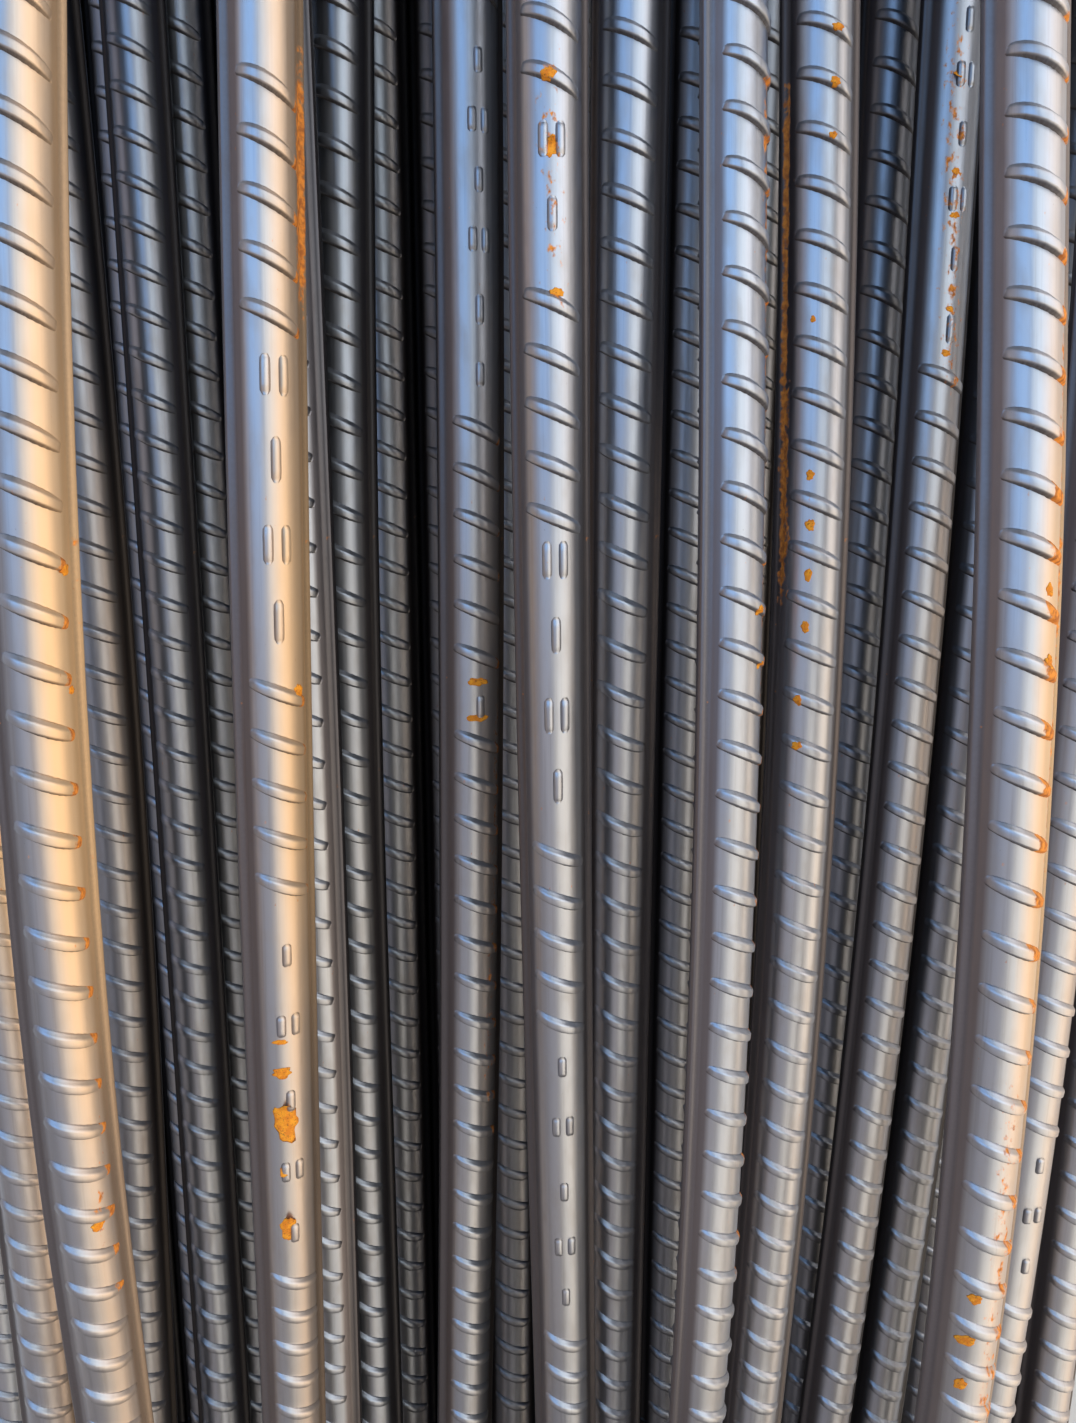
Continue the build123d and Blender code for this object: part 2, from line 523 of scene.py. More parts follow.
# Raised ridges, all made at once: each follows a path over the bar's surface, given as how
# far along the bar and the angle round it, with its height at each step of the path. Across
# is the way across a path: its share along the bar, and its share round it.
def add_ridges(shape, bar, along, angle, height, section, across, rust):
    count, steps = along.shape
    points = len(section)
    taper = rib_tip + (1 - rib_tip) * np.sqrt(height / height.max())
    offset = np.array([point[0] for point in section]) * mm * taper[:, None]
    share = np.array([point[1] for point in section])
    place = along[:, :, None] + offset * across[0]
    turn = angle[:, :, None] + offset * across[1] / core_radius
    raised = np.where(share < 0, -rib_bury, share * height[:, None])
    raised[[0, -1]] = -rib_bury
    raised = np.broadcast_to(raised, place.shape)
    corners = bar.surface(place, turn, core_radius + raised).reshape(-1, 3)
    spread = np.stack([turn.ravel() * core_radius, place.ravel()], -1)
    starts = (np.arange(count) * steps * points)[:, None, None]
    quads = (grid_faces(steps, points)[None] + starts).reshape(-1, 4)
    first = np.arange(points)
    last = first[::-1] + (steps - 1) * points
    caps = (np.stack([first, last])[None] + starts).reshape(-1, points)
    faces = quads.tolist() + caps.tolist()
    places = spread[np.concatenate([quads.ravel(), caps.ravel()])]
    # The section's dirt, with painted shadow on the flank towards -Y
    section_dirt_and_shadow = np.array([point[2] for point in section])
    dirt = section_dirt_and_shadow * np.sqrt(np.clip(height / height.max(), 0, 1))[:, None]
    dirt = np.broadcast_to(dirt, place.shape).ravel()
    rust = np.maximum(rust(corners), rust.rib_ends(place, turn).ravel())
    shape.add(corners, faces, places, dirt, rust, np.zeros(len(corners)))


# The slanting ribs of one side of a bar, given by where they cross the middle of that side
def add_ribs(shape, bar, tops, middle, section, steps, rust):
    if not len(tops):
        return
    turn = np.linspace(-1, 1, steps)
    turn = np.sign(turn) * np.abs(turn) ** rib_crowding
    slant = math.hypot(1, rib_slope)
    along = tops[:, None] + rib_slope * core_radius * np.sin(rib_half_span * turn)
    angle = np.broadcast_to(middle + rib_half_span * turn, along.shape)
    across = (1 / slant, -rib_slope / slant)
    add_ridges(shape, bar, along, angle, rib_height * rib_share(turn), section, across, rust)


# Plain raised dashes along the bar, where a face has no slanting ribs
def add_dashes(shape, bar, dashes, rust):
    turn = np.linspace(-1, 1, dash_steps)
    turn = np.sign(turn) * np.abs(turn) ** dash_crowding
    height = dash_height * np.clip(dash_edge * (1 - turn**4), 0, 1)
    for row, aside, length in dashes:
        along = (bar.along_at_row(row) + turn * length * mm / 2)[None]
        for place in (aside, -aside) if aside else (aside,):
            angle = np.full(along.shape, up_side + place * mm / core_radius)
            add_ridges(shape, bar, along, angle, height, dash_section, (0.0, -1.0), rust)


# The height of the slanting ribs at any place, to lay a rust spot over them
def relief(along, angle, phase):
    section_across = [point[0] * mm for point in fine_section]
    section_share = [max(point[1], 0) for point in fine_section]
    face = np.where(np.sin(angle) >= 0, up_side, down_side)
    offset = np.arctan2(np.sin(angle - face), np.cos(angle - face))
    past = along - phase - rib_slope * core_radius * np.sin(offset)
    past = (past + rib_pitch / 2) % rib_pitch - rib_pitch / 2
    across = past / math.hypot(1, rib_slope)
    return np.interp(across, section_across, section_share) * rib_height * rib_share(
        np.clip(offset / rib_half_span, -1, 1)
    )


# A spot of rust is a thin closed crust, made of rings that run out over its top and back in
# under it. Each ring has its share of the spot's size and its height. Waves round the spot
# make its edge uneven, each with a height and a start drawn from these ranges, and the top
# is grained.
crust_spokes = 24
crust_waves = (2, 3, 5, 7)
crust_wave_heights = (0.04, 0.12)
crust_wave_starts = (0, 6.3)
crust_rings = np.array([0.2, 0.45, 0.7, 0.88, 1.0, 0.88, 0.7, 0.45, 0.2])
crust_heights = np.array([0.08, 0.08, 0.06, 0.04, -0.04, -0.06, -0.06, -0.06, -0.06]) * mm
crust_grain = 0.03 * mm


def add_rust_spot(shape, bar, phase, pixel_x, pixel_y, width, length, seed):
    along, angle = bar.spot(pixel_x, pixel_y)
    chance = np.random.default_rng(seed)
    turn = np.arange(crust_spokes) * 2 * math.pi / crust_spokes
    edge = np.ones(crust_spokes)
    for waves in crust_waves:
        height = chance.uniform(*crust_wave_heights)
        edge += height * np.sin(waves * turn + chance.uniform(*crust_wave_starts))
    share, spoke = np.meshgrid(crust_rings, np.arange(crust_spokes), indexing="ij")
    grain = np.where(crust_heights > 0, crust_grain, 0.0)[:, None]
    uneven = grain * chance.uniform(-1, 1, share.shape)
    reach = share * edge[spoke]
    place = along + reach * np.sin(turn[spoke]) * length / 2
    place_angle = angle + reach * np.cos(turn[spoke]) * width / 2 / core_radius
    place = np.append(place.ravel(), [along, along])
    place_angle = np.append(place_angle.ravel(), [angle, angle])
    crust = (crust_heights[:, None] + uneven).ravel()
    crust = np.append(crust, [crust_heights[0], crust_heights[-1]])
    radius = core_radius + relief(place, place_angle, phase) + crust
    corners = bar.surface(place, place_angle, radius)
    top, under = len(corners) - 2, len(corners) - 1
    fans = end_fans(crust_spokes, top - crust_spokes, top, under)[:, [1, 0, 2]]
    faces = grid_faces(len(crust_rings), crust_spokes).tolist() + fans.tolist()
    spread = np.stack([place_angle * core_radius, place], -1)
    corner_list = [corner for face in faces for corner in face]
    none = np.zeros(len(corners))
    shape.add(corners, faces, spread[corner_list], none, none + 1, none, finish=1)


# How far a bar's long ribs are turned past the solid's own, at the crest, in degrees
crest_twists = {
    "bowed_bar_03": 36.0,
    "bowed_bar_05": 6.0,
    "bowed_bar_07": 9.0,
    "bowed_bar_08": -14.0,
    "bowed_bar_10": 8.0,
    "bowed_bar_11": -13.0,
    "bowed_bar_12": -8.0,
}

# How strongly warm light is painted on the right side of a bar as a straw tint, over the
# upper and over the lower part of the picture
painted_warm_light_strengths = {
    "bowed_bar_01": (0.9, 0.9),
    "bowed_bar_02": (0.0, 0.25),
    "bowed_bar_03": (0.62, 0.85),
    "bowed_bar_05": (0.55, 0.80),
    "bowed_bar_07": (0.0, 0.25),
    "bowed_bar_12": (0.15, 0.90),
    "bowed_bar_13": (0.0, 0.35),
    "bowed_bar_15": (0.2, 0.55),
    "bowed_bar_17": (0.2, 0.65),
}

# Rows of the photograph where a slanting rib crosses the middle of a bar
rib_rows = {
    "bowed_bar_05": 695.0,
    "bowed_bar_10": 394.0,
    "bowed_bar_11": 404.0,
}

# Rows of the photograph between which a bar's face has no slanting ribs
bare_rows = {
    "bowed_bar_05": [(0, 30), (345, 675), (925, 1255)],
    "bowed_bar_07": [(20, 400), (678, 735)],
    "bowed_bar_08": [(105, 255), (530, 830), (1045, 1320)],
    "bowed_bar_13": [(0, 365)],
    "bowed_bar_15": [(1145, 1300)],
}

# Plain dashes on those faces: the row of the photograph, how far a pair stands to either
# side of the bar's middle, or 0 for a single dash, and the length, both in mm
dashes = {
    "bowed_bar_05": [(375, 1.6, 7.0), (460, 0.0, 8.0), (545, 1.6, 7.0), (622, 0.0, 8.0),
                     (955, 0.0, 5.0), (1025, 1.4, 5.0), (1100, 0.0, 5.0), (1170, 1.4, 5.0),
                     (1232, 0.0, 5.0)],
    "bowed_bar_07": [(60, 0.0, 5.0), (120, 1.3, 5.0), (180, 0.0, 5.0), (240, 1.3, 5.0),
                     (310, 0.0, 6.0), (375, 0.0, 5.0), (707, 0.0, 5.0)],
    "bowed_bar_08": [(140, 1.5, 6.0), (215, 0.0, 6.0), (560, 1.5, 7.0), (635, 0.0, 7.0),
                     (715, 1.5, 7.0), (785, 0.0, 7.0), (1065, 0.0, 5.0), (1125, 1.4, 5.0),
                     (1190, 0.0, 5.0), (1245, 1.4, 5.0), (1295, 0.0, 5.0)],
    "bowed_bar_13": [(20, 0.0, 5.0), (75, 1.2, 5.0), (135, 0.0, 5.0), (200, 1.2, 5.0),
                     (260, 0.0, 5.0), (330, 0.0, 6.0)],
    "bowed_bar_15": [(1165, 0.0, 4.0), (1215, 1.2, 4.0), (1265, 0.0, 4.0)],
}

# Bars whose slanting ribs have rusted at their right ends: between which rows, how much,
# and how far round from the right long rib the rust reaches, in degrees
rusted_rib_ends = {
    "bowed_bar_12": [(10, 260, 0.62, 54), (260, 480, 0.70, 60), (480, 960, 0.86, 66),
                     (960, 1423, 0.62, 62)],
    "bowed_bar_03": [(540, 1300, 0.74, 44)],
    "bowed_bar_07": [(400, 660, 0.56, 46), (660, 1150, 0.72, 48)],
    "bowed_bar_05": [(40, 360, 0.86, 44), (640, 720, 0.84, 46), (720, 900, 0.66, 40)],
    "bowed_bar_10": [(560, 1300, 0.58, 56)],
}

# Stretches where rust has settled: bar, start and end pixel, reach and strength
rust_stretches = [
    ("bowed_bar_12", (1066, 320), (1046, 900), 1.8 * mm, 0.62),
    ("bowed_bar_12", (1010, 1100), (985, 1400), 2.0 * mm, 0.50),
    ("bowed_bar_05", (300, 60), (304, 330), 1.8 * mm, 0.80),
    ("bowed_bar_10", (766, 60), (764, 720), 1.3 * mm, 0.60),
    ("bowed_bar_11", (789, 60), (784, 620), 1.1 * mm, 0.76),
    ("bowed_bar_07", (497, 700), (485, 1100), 1.6 * mm, 0.48),
    ("bowed_bar_08", (545, 60), (556, 300), 2.6 * mm, 0.46),
    ("bowed_bar_13", (955, 60), (950, 380), 2.6 * mm, 0.50),
    ("bowed_bar_03", (75, 560), (100, 1230), 1.6 * mm, 0.48),
]

# Rust spots: the bar, and each spot's pixel, its width and its length in mm. A spot's place
# in this order seeds its shape.
rust_spots = [
    ("bowed_bar_11", [(836, 29, 1.8, 1.4), (834, 83, 1.6, 1.6), (831, 137, 1.3, 1.2),
                      (813, 319, 0.9, 1.3)]),
    ("bowed_bar_13", [(960, 73, 2.2, 1.8), (956, 171, 1.8, 1.2), (955, 215, 2.0, 1.3),
                      (950, 309, 1.7, 1.1), (946, 353, 2.0, 1.4)]),
    ("bowed_bar_11", [(810, 475, 1.3, 2.1), (810, 525, 1.6, 2.3), (808, 575, 1.4, 2.4),
                      (805, 627, 1.5, 2.2), (798, 700, 1.6, 2.0), (797, 745, 1.6, 1.8)]),
    ("bowed_bar_10", [(757, 610, 1.4, 1.8), (758, 665, 1.0, 1.6)]),
    ("bowed_bar_05", [(280, 1043, 2.8, 1.2), (282, 1073, 3.8, 2.4), (286, 1121, 5.0, 8.0),
                      (285, 1170, 1.8, 2.4), (288, 1228, 3.2, 6.0), (299, 690, 2.4, 2.2)]),
    ("bowed_bar_08", [(548, 75, 2.6, 1.8), (549, 147, 3.0, 3.2), (557, 292, 2.6, 1.4)]),
    ("bowed_bar_07", [(478, 682, 4.2, 1.8), (478, 718, 4.6, 1.8)]),
    ("bowed_bar_12", [(975, 1300, 2.6, 2.0), (965, 1342, 3.6, 2.2), (960, 1385, 2.2, 2.6),
                      (1050, 590, 1.6, 2.2), (1049, 662, 2.0, 2.2)]),
    ("bowed_bar_03", [(65, 570, 2.4, 1.8), (72, 690, 1.6, 1.4), (98, 1226, 2.4, 2.2)]),
]

# How much of any bar is specked with rust
common_rust = 0.30


# Rust fades from this start, cut off at full strength, by its distance as a share of its
# reach: once that beside a rusty stretch, and this many times that at the ribs' ends
stretch_start = 1.6
rib_end_start = 3.6
rib_end_fall = 2.6


# How rusty a bar is at any corner of its mesh, and at the right ends of its ribs
class RustField:
    def __init__(self, bar):
        self.bar, self.stretches = bar, []
        for name, start, end, reach, strength in rust_stretches:
            if name == bar.name:
                ends = [self.surface_point(pixel) for pixel in (start, end)]
                self.stretches.append((*ends, reach, strength))

    def surface_point(self, pixel):
        along, angle = self.bar.spot(*pixel)
        return self.bar.surface(np.array([along]), np.array([angle]), np.array([core_radius]))[0]

    def __call__(self, corners):
        rust = np.full(len(corners), common_rust)
        for start, end, reach, strength in self.stretches:
            run = end - start
            share = np.clip(((corners - start) @ run) / (run @ run), 0, 1)
            away = np.linalg.norm(corners - start - share[:, None] * run, axis=1)
            rust = np.maximum(rust, strength * np.clip(stretch_start - away / reach, 0, 1))
        return rust

    def rib_ends(self, along, angle):
        rust = np.zeros(along.shape)
        for upper, lower, strength, reach in rusted_rib_ends.get(self.bar.name, []):
            start, end = self.bar.along_at_row(lower), self.bar.along_at_row(upper)
            inside = (along > start) & (along < end)
            fall = rib_end_fall * np.abs(angle) / math.radians(reach)
            spread = np.clip(rib_end_start - fall, 0, 1)
            rust = np.maximum(rust, inside * strength * spread)
        return rust


# Where slanting ribs cross the middle of a bar's side, between two places along Y
def rib_tops(bar, phase, start, end):
    first = bar.along_at(start) - phase
    last = bar.along_at(end) - phase
    numbers = np.arange(math.ceil(first / rib_pitch), math.floor(last / rib_pitch) + 1)
    return phase + numbers * rib_pitch


# Leaves out the ribs where a bar's face has none
def without_bare(bar, tops):
    keep = np.ones(len(tops), dtype=bool)
    for upper, lower in bare_rows.get(bar.name, []):
        keep &= (tops > bar.along_at_row(upper)) | (tops < bar.along_at_row(lower))
    return tops[keep]


# One bar. Its detail is full on top of the bundle, upper for bars that show between those,
# edge for the outermost of a row, which show from the side, and plain for all the others.
def add_bar(shape, bar, number, detail, painted_shades):
    chance = np.random.default_rng(first_seed + number)
    bar.twist = math.radians(crest_twists.get(bar.name, 0.0))
    phase = chance.uniform(0, rib_pitch)
    other_phase = chance.uniform(0, rib_pitch)
    if bar.name in rib_rows:
        phase = bar.along_at_row(rib_rows[bar.name])
    rust = RustField(bar)
    near_up = rib_tops(bar, phase, view_start, view_end)
    near_down = rib_tops(bar, other_phase, view_start, view_end)
    margin = 0.5 * rib_pitch
    ends = (-ribbed_end, ribbed_end)
    if detail == "edge":
        ends = (bar.ring_ends[0] + rib_pitch, bar.ring_ends[1] - rib_pitch)
    far_runs = [(ends[0], view_start - margin), (view_end + margin, ends[1])]
    if detail == "full":
        add_body(shape, bar, rust, "unseen_lower")
        tops = without_bare(bar, near_up)
        add_ribs(shape, bar, tops, up_side, fine_section, fine_steps, rust)
        add_ribs(shape, bar, near_down, down_side, far_section, far_steps, rust)
        for start, end in far_runs:
            tops = rib_tops(bar, phase, start, end)
            add_ribs(shape, bar, tops, up_side, far_section, far_steps, rust)
        add_dashes(shape, bar, dashes.get(bar.name, []), rust)
    elif detail == "upper":
        add_body(shape, bar, rust, "unseen")
        add_ribs(shape, bar, near_up, up_side, plain_section, plain_steps, rust)
    elif detail == "edge":
        add_body(shape, bar, rust, "none")
        for side_phase, side in ((phase, up_side), (other_phase, down_side)):
            for start, end in far_runs + [(view_start, view_end)]:
                tops = rib_tops(bar, side_phase, start, end)
                add_ribs(shape, bar, tops, side, far_section, far_steps, rust)
    else:
        add_body(shape, bar, rust, "all")
    spots = [(name, *spot) for name, group in rust_spots for spot in group]
    for seed, (name, x, y, width, length) in enumerate(spots):
        if name == bar.name:
            add_rust_spot(shape, bar, phase, x, y, width * mm, length * mm, seed)
    shape.add_tints(bar, *painted_shades)


# A short way to write a material's node tree
class Nodes:
    def __init__(self, name):
        self.material = bpy.data.materials.new(name)
        self.material.use_nodes = True
        self.tree = self.material.node_tree
        self.shader = self.tree.nodes["Principled BSDF"]

    def add(self, kind, inputs=(), **settings):
        node = self.tree.nodes.new(kind)
        for name, value in settings.items():
            setattr(node, name, value)
        for name, value in dict(inputs).items():
            self.link(value, node.inputs[name])
        return node

    def link(self, value, socket):
        if isinstance(value, bpy.types.NodeSocket):
            self.tree.links.new(value, socket)
        else:
            socket.default_value = value

    # A setting of the material's own shader
    def give(self, name, value):
        self.link(value, self.shader.inputs[name])

    def coordinates(self, kind):
        return self.add("ShaderNodeTexCoord").outputs[kind]

    def math(self, operation, *values):
        node = self.tree.nodes.new("ShaderNodeMath")
        node.operation = operation
        for number, value in enumerate(values):
            self.link(value, node.inputs[number])
        return node.outputs[0]

    def mix(self, share, first, second):
        node = self.tree.nodes.new("ShaderNodeMix")
        node.data_type = "RGBA"
        self.link(share, node.inputs[0])
        self.link(first, node.inputs[6])
        self.link(second, node.inputs[7])
        return node.outputs[2]

    def noise(self, vector, scale, detail, roughness):
        inputs = {"Vector": vector, "Scale": scale, "Detail": detail, "Roughness": roughness}
        return self.add("ShaderNodeTexNoise", inputs).outputs[0]

    def ramp(self, value, low, high, low_result=0.0, high_result=1.0):
        inputs = {"Value": value, 1: low, 2: high, 3: low_result, 4: high_result}
        return self.add("ShaderNodeMapRange", inputs).outputs[0]

    def stretch(self, vector, scale):
        return self.add("ShaderNodeMapping", {"Vector": vector, "Scale": scale}).outputs[0]

    def attribute(self, name):
        return self.add("ShaderNodeAttribute", attribute_name=name).outputs["Fac"]

    # Noise drawn out by its scale across and along the texture
    def drawn_noise(self, vector, scale, detail, roughness):
        return self.noise(self.stretch(vector, scale), 1.0, detail, roughness)

    def bump(self, height, distance, normal=None):
        inputs = {"Height": height, "Distance": distance, "Strength": 1.0}
        if normal is not None:
            inputs["Normal"] = normal
        return self.add("ShaderNodeBump", inputs).outputs[0]


# Rust specks: how much of them there is follows the mesh's rust
def rust_specks(nodes, place):
    fresh_rust, old_rust = (0.90, 0.31, 0.04, 1), (0.46, 0.14, 0.025, 1)
    spread = nodes.drawn_noise(place, (700.0, 420.0, 1.0), 3.0, 0.65)
    limit = nodes.math("SUBTRACT", 1.0, nodes.attribute("rust"))
    rust = nodes.ramp(nodes.math("SUBTRACT", spread, limit), 0.0, 0.12)
    tone = nodes.drawn_noise(place, (1300.0, 800.0, 1.0), 2.0, 0.6)
    return rust, nodes.mix(nodes.ramp(tone, 0.40, 0.62), fresh_rust, old_rust)


# Slanting ribs as bump alone, over the bump of the skin
def bump_ribs(nodes, place, skin):
    parts = nodes.add("ShaderNodeSeparateXYZ", {"Vector": place})
    lean = nodes.math("MULTIPLY", parts.outputs[0], rib_slope)
    past = nodes.math("SUBTRACT", parts.outputs[1], lean)
    phase = nodes.math("FRACT", nodes.math("DIVIDE", past, rib_pitch))
    ridge = nodes.math("ABSOLUTE", nodes.math("SUBTRACT", phase, 0.5))
    ridge = nodes.ramp(ridge, 0.09, 0.17, 1.0, 0.0)
    ridge = nodes.math("MULTIPLY", ridge, nodes.attribute("plain"))
    return nodes.bump(ridge, 0.8 * mm, skin)


# Hot-rolled steel: a thin blue-grey skin, drawn out in streaks along the bar, with painted
# shade where it lies deep in the pile and beside its long ribs, painted warm light on the
# right side of the highest bars, and dirt with painted shadow on the slanting ribs' flanks
def bar_steel():
    blue_grey, blue = (0.57, 0.575, 0.61, 1), (0.49, 0.515, 0.58, 1)
    brown_grey, streak_grey = (0.48, 0.45, 0.44, 1), (0.30, 0.30, 0.33, 1)
    grain_brown, painted_strip_shade = (0.16, 0.13, 0.12, 1), (0.20, 0.165, 0.17, 1)
    painted_warm_yellow, dirt_and_shadow_brown = (0.90, 0.58, 0.29, 1), (0.075, 0.058, 0.050, 1)
    # The black that the painted shade darkens towards
    painted_shade_black = (0.006, 0.0055, 0.006, 1)
    nodes = Nodes("bar_steel")
    place = nodes.coordinates("UV")
    streaks = nodes.drawn_noise(place, (1500.0, 26.0, 1.0), 3.0, 0.6)
    broad = nodes.drawn_noise(place, (160.0, 9.0, 1.0), 2.0, 0.55)
    patches = nodes.drawn_noise(place, (240.0, 90.0, 1.0), 3.0, 0.6)
    grains = nodes.drawn_noise(place, (2600.0, 1500.0, 1.0), 3.0, 0.6)
    steel = nodes.mix(nodes.ramp(broad, 0.38, 0.62), blue_grey, blue)
    steel = nodes.mix(nodes.ramp(patches, 0.50, 0.72, 0.0, 0.45), steel, brown_grey)
    steel = nodes.mix(nodes.ramp(streaks, 0.30, 0.46, 0.28, 0.0), steel, streak_grey)
    steel = nodes.mix(nodes.ramp(grains, 0.68, 0.80, 0.0, 0.45), steel, grain_brown)
    # Painted shade: a darker strip beside each long rib, standing in for a darker reflection
    strip = nodes.math("MULTIPLY", nodes.attribute("strip"), 0.75)
    steel = nodes.mix(strip, steel, painted_strip_shade)
    # Painted warm light: a straw tint, with less metal, on the right side of the highest bars
    straw = nodes.attribute("straw")
    steel = nodes.mix(straw, steel, painted_warm_yellow)
    # Dirt, and painted shadow on the slanting ribs' flanks: darker, duller and less metallic
    dirt = nodes.attribute("dirt")
    grainy_dirt_and_shadow = nodes.math("MULTIPLY", dirt, nodes.ramp(grains, 0.30, 0.62, 0.80, 1.0))
    steel = nodes.mix(nodes.math("MULTIPLY", grainy_dirt_and_shadow, 0.92), steel, dirt_and_shadow_brown)
    rust, rust_colour = rust_specks(nodes, place)
    colour = nodes.mix(rust, steel, rust_colour)
    # Painted shade: darkens the bars deep in the pile, most of all on their sides
    colour = nodes.mix(nodes.attribute("shade"), colour, painted_shade_black)
    nodes.give("Base Color", colour)
    unrusted = nodes.math("SUBTRACT", 1.0, rust)
    without_dirt_and_shadow = nodes.math("SUBTRACT", 1.0, nodes.math("MULTIPLY", grainy_dirt_and_shadow, 0.5))
    clean = nodes.math("MULTIPLY", unrusted, without_dirt_and_shadow)
    clean = nodes.math("MULTIPLY", clean, nodes.ramp(straw, 0.0, 1.0, 1.0, 0.42))
    nodes.give("Metallic", clean)
    streak_gloss = nodes.ramp(streaks, 0.3, 0.7, 0.35, 0.43)
    patch_gloss = nodes.ramp(patches, 0.45, 0.75, 0.0, 0.08)
    smooth = nodes.math("ADD", streak_gloss, patch_gloss)
    rough = nodes.math("MAXIMUM", smooth, nodes.math("MULTIPLY", rust, 0.85))
    rough = nodes.math("MAXIMUM", rough, nodes.math("MULTIPLY", grainy_dirt_and_shadow, 0.60))
    nodes.give("Roughness", rough)
    skin = nodes.bump(streaks, 0.0125 * mm)
    nodes.give("Normal", bump_ribs(nodes, place, skin))
    return nodes.material


# Rust that stands on the steel as a crust
def rust_crust():
    nodes = Nodes("rust_crust")
    place = nodes.coordinates("Object")
    tone = nodes.noise(place, 900.0, 4.0, 0.65)
    grains = nodes.noise(place, 2600.0, 3.0, 0.6)
    fresh_rust, old_rust = (1.0, 0.40, 0.02, 1), (0.80, 0.24, 0.012, 1)
    dark_rust = (0.16, 0.075, 0.03, 1)
    colour = nodes.mix(nodes.ramp(tone, 0.38, 0.60), fresh_rust, old_rust)
    colour = nodes.mix(nodes.ramp(grains, 0.56, 0.68, 0.0, 0.7), colour, dark_rust)
    nodes.give("Base Color", colour)
    nodes.give("Roughness", nodes.ramp(grains, 0.3, 0.7, 0.7, 0.95))
    nodes.give("Normal", nodes.bump(grains, 0.12 * mm))
    return nodes.material


# Blued strapping: dark, with steel showing where its edges have rubbed
def strap_steel():
    nodes = Nodes("strap_steel")
    place = nodes.coordinates("Object")
    broad = nodes.noise(place, 24.0, 4.0, 0.6)
    scratches = nodes.drawn_noise(place, (30.0, 2400.0, 30.0), 3.0, 0.6)
    deep_blue, pale_blue = (0.035, 0.045, 0.065, 1), (0.075, 0.085, 0.11, 1)
    bare_steel, strap_rust = (0.32, 0.32, 0.33, 1), (0.20, 0.08, 0.03, 1)
    colour = nodes.mix(nodes.ramp(broad, 0.35, 0.65), deep_blue, pale_blue)
    colour = nodes.mix(nodes.ramp(scratches, 0.60, 0.74, 0.0, 0.8), colour, bare_steel)
    rust = nodes.ramp(nodes.noise(place, 160.0, 4.0, 0.65), 0.62, 0.70)
    colour = nodes.mix(nodes.math("MULTIPLY", rust, 0.8), colour, strap_rust)
    nodes.give("Base Color", colour)
    nodes.give("Metallic", nodes.ramp(rust, 0.0, 1.0, 0.85, 0.1))
    nodes.give("Roughness", nodes.ramp(broad, 0.3, 0.7, 0.30, 0.45))
    nodes.give("Normal", nodes.bump(scratches, 0.03 * mm))
    return nodes.material


# The folded seals: plain steel gone dull
def seal_steel():
    nodes = Nodes("seal_steel")
    place = nodes.coordinates("Object")
    broad = nodes.noise(place, 180.0, 4.0, 0.6)
    fine = nodes.noise(place, 1600.0, 3.0, 0.6)
    light_grey, dark_grey = (0.42, 0.42, 0.43, 1), (0.30, 0.30, 0.32, 1)
    colour = nodes.mix(nodes.ramp(broad, 0.35, 0.65), light_grey, dark_grey)
    nodes.give("Base Color", colour)
    nodes.give("Metallic", 0.9)
    nodes.give("Roughness", nodes.ramp(fine, 0.3, 0.7, 0.34, 0.5))
    nodes.give("Normal", nodes.bump(broad, 0.08 * mm))
    return nodes.material


def floor_paint():
    nodes = Nodes("floor_paint")
    place = nodes.coordinates("Object")
    broad = nodes.noise(place, 1.3, 4.0, 0.55)
    pale, paler = (0.66, 0.655, 0.645, 1), (0.70, 0.695, 0.685, 1)
    colour = nodes.mix(nodes.ramp(broad, 0.35, 0.65), pale, paler)
    nodes.give("Base Color", colour)
    nodes.give("Roughness", 0.8)
    return nodes.material


def make_camera():
    data = bpy.data.cameras.new("camera")
    data.sensor_width = sensor_size
    data.lens = focal_pixels / photo_height * sensor_size
    data.clip_start = 0.01
    data.clip_end = 200.0
    camera = bpy.data.objects.new("camera", data)
    camera.location = camera_place
    camera.rotation_euler = (-camera_tilt, 0.0, 0.0)
    bpy.context.scene.collection.objects.link(camera)
    bpy.context.scene.camera = camera


# Pairs of soft boxes, from left to right: the turn from straight above towards +X in
# degrees, the width, and the brightness and colour over the picture's bluer upper part and
# over its warmer lower part. The warmest is so low that only the highest bars catch it.
soft_boxes = {
    "left_light": (-72.0, 2.0, (0.34, (0.95, 0.88, 1.0)), (0.22, (1.0, 0.86, 0.80))),
    "sky_light": (-24.0, 2.5, (1.50, (0.29, 0.57, 1.0)), (0.42, (0.93, 0.85, 0.86))),
    "key_light": (22.0, 1.6, (1.66, (0.79, 0.92, 1.0)), (1.30, (1.0, 0.92, 0.78))),
    "side_light": (47.0, 1.1, (1.78, (0.97, 0.98, 1.0)), (1.45, (1.0, 0.89, 0.72))),
    "low_light": (72.0, 1.5, (1.70, (1.0, 0.90, 0.80)), (1.80, (1.0, 0.81, 0.60))),
}

# How far off the boxes are, how long they are, and where along Y the two of each pair stand
box_distance = 3.0
box_length = 4.5
upper_box_y = 2.45
lower_box_y = -2.05

# The pale light from all round
world_colour = (1.0, 0.93, 0.91, 1)
world_strength = 0.12


def soft_box(name, turn, width, brightness, colour, y):
    data = bpy.data.lights.new(name, "AREA")
    data.shape = "RECTANGLE"
    data.size = width
    data.size_y = box_length
    data.energy = brightness * math.pi * width * box_length
    data.color = colour
    box = bpy.data.objects.new(name, data)
    angle = math.radians(turn)
    box.location = (box_distance * math.sin(angle), y, box_distance * math.cos(angle))
    box.rotation_euler = (0.0, angle, 0.0)
    box.visible_camera = False
    bpy.context.scene.collection.objects.link(box)


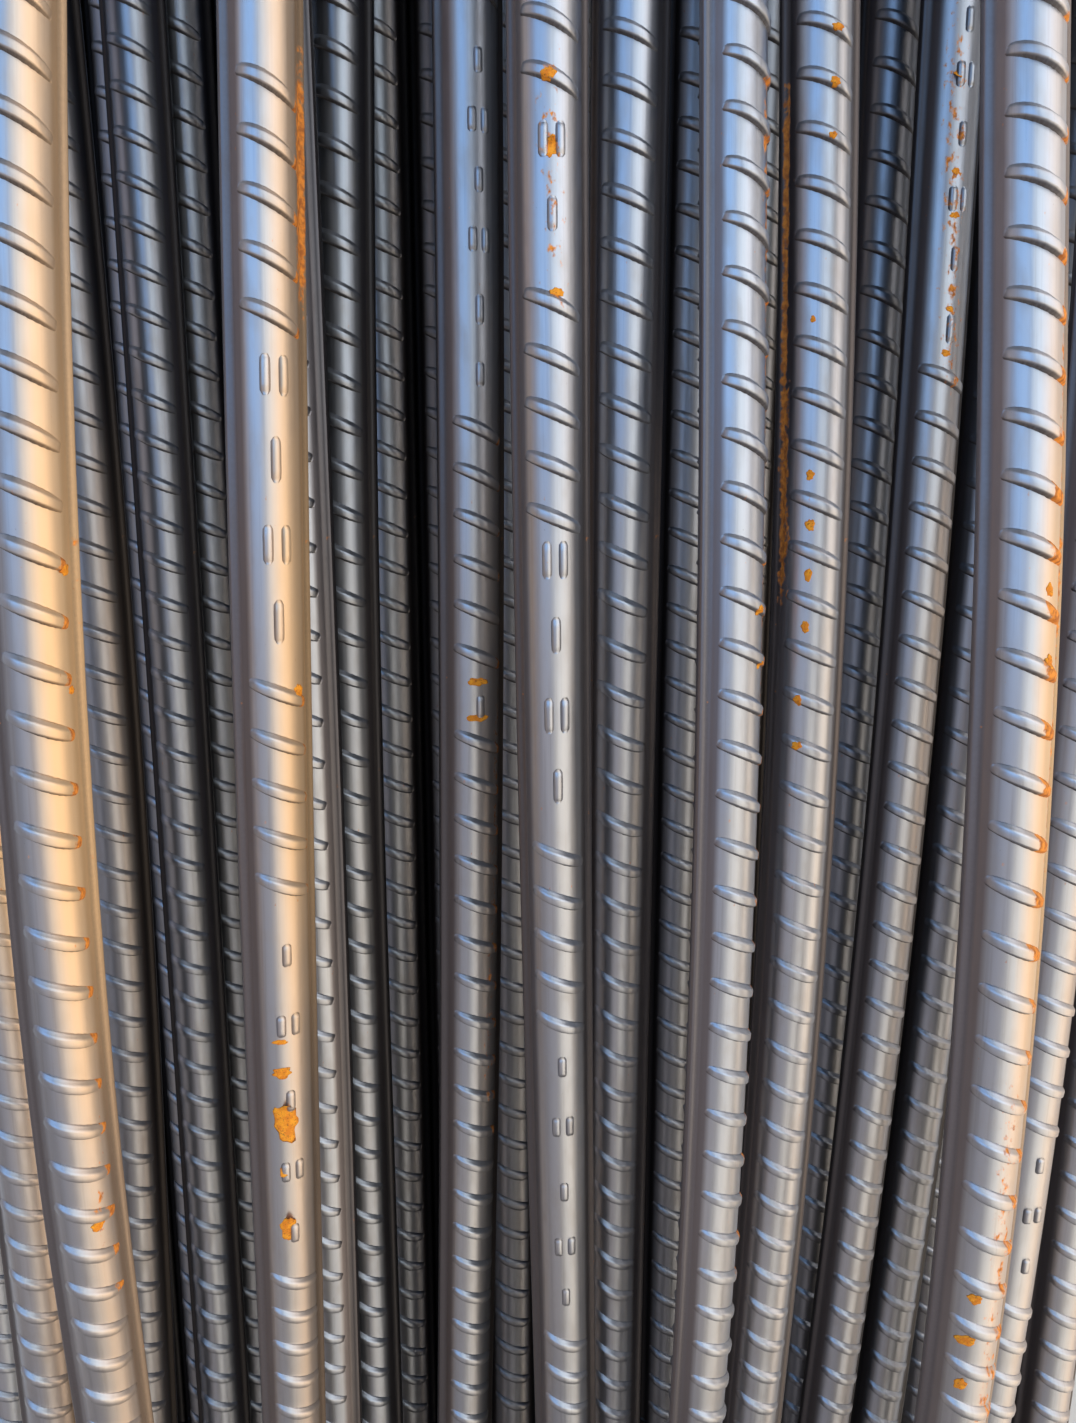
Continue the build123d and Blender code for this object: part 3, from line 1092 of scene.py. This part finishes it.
def make_light():
    for name, (turn, width, upper, lower) in soft_boxes.items():
        soft_box(name + "_upper", turn, width, *upper, upper_box_y)
        soft_box(name + "_lower", turn, width, *lower, lower_box_y)
    world = bpy.data.worlds.new("studio")
    world.use_nodes = True
    background = world.node_tree.nodes["Background"]
    background.inputs["Color"].default_value = world_colour
    background.inputs["Strength"].default_value = world_strength
    bpy.context.scene.world = world
    bpy.context.scene.view_settings.view_transform = "Standard"


# The floor reaches this far from the bundle on every side
floor_reach = 60.0


def make_floor():
    mesh = bpy.data.meshes.new("floor")
    sides = [(-1, -1), (1, -1), (1, 1), (-1, 1)]
    corners = [(floor_reach * x, floor_reach * y, 0) for x, y in sides]
    mesh.from_pydata(corners, [], [(0, 1, 2, 3)])
    mesh.materials.append(floor_paint())
    floor = bpy.data.objects.new("floor", mesh)
    bpy.context.scene.collection.objects.link(floor)


# How much shade is painted on a bar of each row on its upper side, and how much more on its
# sides
row_painted_shades = {
    "bottom": (0.985, 1.0),
    "second": (0.965, 1.0),
    "third": (0.25, 0.95),
    "top": (0.10, 0.80),
}

# The same for a bowed bar, at these heights of its crest
crest_heights = [0.050, 0.070, 0.095, 0.110]
top_painted_shades = [0.25, 0.10, 0.0, 0.0]
side_painted_shades = [0.95, 0.75, 0.35, 0.0]


def crest_painted_shades(bar):
    crest = bar.places[:, 2].max()
    top = float(np.interp(crest, crest_heights, top_painted_shades))
    side = float(np.interp(crest, crest_heights, side_painted_shades))
    return top, side


# How much of a bar is modelled, and how much shade is painted on it
def bar_look(bar, at_edge):
    row = bar.name.split("_")[0]
    if row == "bowed":
        return "full", crest_painted_shades(bar)
    if row == "top":
        return "full", row_painted_shades[row]
    if at_edge:
        return "edge", (0.0, 0.0)
    if row in ("third", "second"):
        return "upper", row_painted_shades[row]
    return "plain", row_painted_shades[row]


def make_bars():
    steel, rust = bar_steel(), rust_crust()
    number = 0
    for node in sorted(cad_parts):
        if "bar" not in node:
            continue
        bars = node_bars(node)
        shape = Shape()
        for bar in bars:
            at_edge = bar in (bars[0], bars[-1])
            add_bar(shape, bar, number, *bar_look(bar, at_edge))
            number += 1
        piece = shape.build(node + "_ribbed", [steel, rust])
        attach(piece, "root")
        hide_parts(node)


def dress_straps():
    strap, seal = strap_steel(), seal_steel()
    for name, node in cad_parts.items():
        if name.startswith("strap"):
            node.data.materials.clear()
            node.data.materials.append(seal if "seal" in name else strap)


make_camera()
make_light()
make_floor()
make_bars()
dress_straps()
